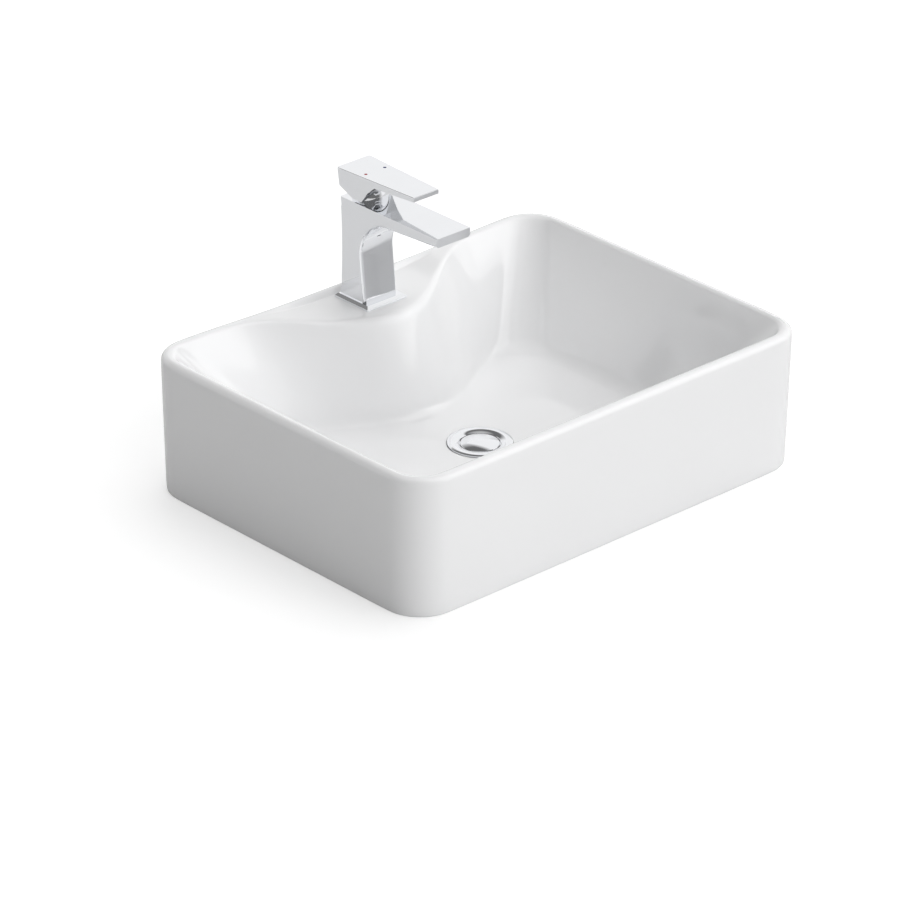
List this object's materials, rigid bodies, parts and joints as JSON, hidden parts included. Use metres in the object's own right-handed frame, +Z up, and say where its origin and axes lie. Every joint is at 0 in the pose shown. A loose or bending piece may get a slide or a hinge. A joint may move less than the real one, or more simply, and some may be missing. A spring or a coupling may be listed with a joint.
{
  "type": "countertop basin",
  "caption": "Rectangular glazed ceramic countertop basin with a tap deck that bulges into the bowl, a flat-spout lever mixer tap and a push-button waste.",
  "frame": {"origin": "on the axis of the waste, at the level of the counter that the basin stands on", "axes": "+X along the basin's length, to the right as seen by the user; +Y from the user to the tap and the wall; +Z up"},
  "size_m": [0.4996, 0.3796, 0.3267],
  "materials": {
    "ceramic": "glossy white glaze",
    "chrome": "polished",
    "brass": "machined",
    "steel": "plain",
    "rubber": "matt",
    "white_plastic": "moulded",
    "grey_plastic": "moulded",
    "disc_ceramic": "lapped",
    "red_enamel": "glossy",
    "blue_enamel": "glossy"
  },
  "bodies": {
    "fixed": {"basin_body": "ceramic", "waste_body": "chrome", "flange_gasket": "rubber", "click_housing": "white_plastic", "return_spring": "steel", "cone_washer": "rubber", "slip_washer": "white_plastic", "backnut": "chrome", "base_plate": "chrome", "base_gasket": "rubber", "tap_body": "chrome", "fixing_stud": "brass", "clamp_rubber": "rubber", "clamp_plate": "steel", "clamp_nut": "brass", "aerator_housing": "chrome", "aerator_insert": "grey_plastic", "aerator_gasket": "rubber", "port_seal": "rubber", "cartridge_housing": "white_plastic", "fixed_disc": "disc_ceramic", "cartridge_nut": "brass", "shroud": "chrome"},
    "swivel": {"swivel_guide": "grey_plastic", "pivot_pin": "steel"},
    "lever": {"lever_handle": "chrome", "hot_dot": "red_enamel", "cold_dot": "blue_enamel", "set_screw": "steel", "screw_cover": "chrome", "lever_stem": "brass"},
    "disc": {"moving_disc": "disc_ceramic", "disc_carrier": "grey_plastic"},
    "plug": {"waste_plug": "chrome", "plug_seal": "rubber", "plug_stem": "brass"}
  },
  "joints": [
    {"name": "mix_swivel", "type": "hinge", "parent": "fixed", "child": "swivel", "pos_m": [0, 0.1545, 0.238], "axis": [0, 0, 1], "range_deg": [-45, 45]},
    {"name": "flow_lift", "type": "hinge", "parent": "swivel", "child": "lever", "pos_m": [0, 0.1545, 0.238], "axis": [-1, 0, 0], "range_deg": [0, 25]},
    {"name": "disc_slide", "type": "slide", "parent": "swivel", "child": "disc", "axis": [0, -1, 0], "range_m": [0, 0.0042]},
    {"name": "plug_click", "type": "slide", "parent": "fixed", "child": "plug", "axis": [0, 0, 1], "range_m": [0, 0.01], "deforming": ["return_spring"]}
  ],
  "couplings": [
    {"joint": "disc_slide", "follows": "flow_lift", "m_per_rad": 0.00942}
  ]
}
